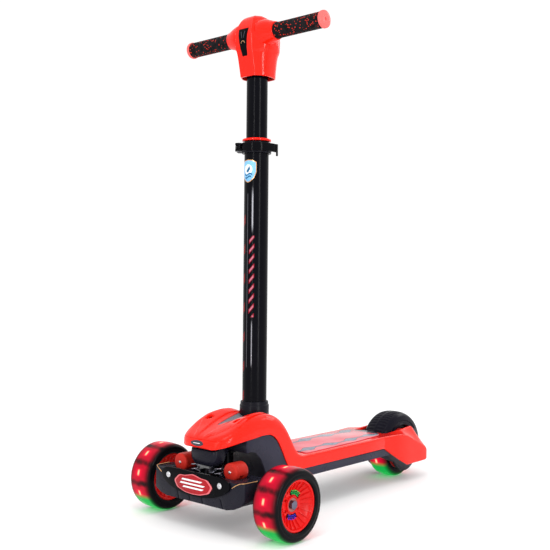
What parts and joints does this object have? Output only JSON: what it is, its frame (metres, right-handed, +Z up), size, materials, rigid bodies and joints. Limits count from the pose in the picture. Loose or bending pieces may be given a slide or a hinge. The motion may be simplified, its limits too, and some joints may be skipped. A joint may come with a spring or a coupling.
{
  "type": "children's kick scooter",
  "caption": "Kick scooter with a pair of wheels in front, lean-to-steer truck, foot brake over the rear wheel and a clamped handlebar column that slides to fit the rider.",
  "frame": {"origin": "middle of the bounding box, on the floor that the wheels stand on", "axes": "+Z up along the handlebar column, -Y forward, +X to the rider's left, so that +Y points back to the rear wheel"},
  "size_m": [0.352, 0.6654, 0.89],
  "materials": {
    "red_gloss": "smooth gloss",
    "hub_red": "translucent gloss",
    "bumper_red": "satin",
    "tyre": "satin polyurethane",
    "light_ring": "clear, lit from inside",
    "slate_plastic": "satin",
    "black_plastic": "fine satin grain",
    "black_tube": "satin powder coat",
    "grip_rubber": "matte with a red fleck",
    "grey_print": "printed, satin",
    "steel": "zinc plated"
  },
  "bodies": {
    "deck": {"chassis": "slate_plastic", "deck_shell": "red_gloss", "nose_cap": "red_gloss", "nose_badge": "grey_print", "hump_inlay": "grey_print", "deck_mat": "grey_print", "nose_block": "slate_plastic", "steering_bracket": "steel", "kingpin_bolt": "steel", "kingpin_nut": "steel", "lower_tube": "black_tube", "column_bush_ring": "red_gloss", "base_collar": "black_plastic", "clamp_collar": "black_plastic", "clamp_bolt": "steel", "clamp_nut": "black_plastic", "clamp_pin": "steel", "rear_axle_bolt": "steel", "rear_axle_nut": "steel", "brake_hinge_pin": "steel", "brake_spring": "steel"},
    "upper_column": {"upper_tube": "black_tube", "handlebar_tube": "black_tube", "head_cover_front": "red_gloss", "head_cover_rear": "red_gloss", "head_insert": "black_plastic", "head_screw": "steel", "grip_left": "grip_rubber", "grip_right": "grip_rubber", "grip_end_cap_left": "red_gloss", "grip_end_cap_right": "red_gloss"},
    "clamp_lever": {"clamp_lever": "black_plastic"},
    "front_truck": {"front_truck": "black_plastic", "truck_faceplate": "black_plastic", "faceplate_badge": "red_gloss", "faceplate_screw_left": "steel", "faceplate_screw_right": "steel", "lean_bumper_left": "bumper_red", "lean_bumper_right": "bumper_red", "lean_spring_left": "steel", "lean_spring_right": "steel", "front_axle_bolt_left": "steel", "front_axle_bolt_right": "steel"},
    "front_wheel_left": {"front_wheel_left_tyre": "tyre", "front_wheel_left_light_ring": "light_ring", "front_wheel_left_hub": "hub_red", "front_wheel_left_bearing_outer": "steel", "front_wheel_left_bearing_inner": "steel"},
    "front_wheel_right": {"front_wheel_right_tyre": "tyre", "front_wheel_right_light_ring": "light_ring", "front_wheel_right_hub": "hub_red", "front_wheel_right_bearing_outer": "steel", "front_wheel_right_bearing_inner": "steel"},
    "rear_wheel": {"rear_wheel_tyre": "tyre", "rear_wheel_light_ring": "light_ring", "rear_wheel_hub": "hub_red", "rear_wheel_bearing_outer": "steel", "rear_wheel_bearing_inner": "steel"},
    "brake_fender": {"brake_fender": "black_plastic", "brake_pad": "steel"}
  },
  "joints": [
    {"name": "lean_steer", "type": "hinge", "parent": "deck", "child": "front_truck", "pos_m": [0, -0.2663, 0.078], "axis": [0, -0.766, 0.6428], "range_deg": [-10, 10], "stiffness_Nm_per_rad": 50, "deforming": ["lean_spring_left", "lean_spring_right"]},
    {"name": "front_wheel_left_spin", "type": "hinge", "parent": "front_truck", "child": "front_wheel_left", "pos_m": [0.15, -0.2643, 0.06], "axis": [1, 0, 0], "continuous": true},
    {"name": "front_wheel_right_spin", "type": "hinge", "parent": "front_truck", "child": "front_wheel_right", "pos_m": [-0.15, -0.2643, 0.06], "axis": [1, 0, 0], "continuous": true},
    {"name": "rear_wheel_spin", "type": "hinge", "parent": "deck", "child": "rear_wheel", "pos_m": [0, 0.2557, 0.06], "axis": [1, 0, 0], "continuous": true},
    {"name": "height_adjust", "type": "slide", "parent": "deck", "child": "upper_column", "axis": [0, 0, 1], "range_m": [-0.1, 0.05]},
    {"name": "clamp_lever_swing", "type": "hinge", "parent": "deck", "child": "clamp_lever", "pos_m": [-0.01477, -0.21318, 0.6545], "axis": [0, 0, 1], "range_deg": [-120, 0]},
    {"name": "brake_press", "type": "hinge", "parent": "deck", "child": "brake_fender", "pos_m": [0, 0.1827, 0.086], "axis": [1, 0, 0], "range_deg": [-3.8, 0], "stiffness_Nm_per_rad": 3, "springref_deg": 5.73}
  ]
}
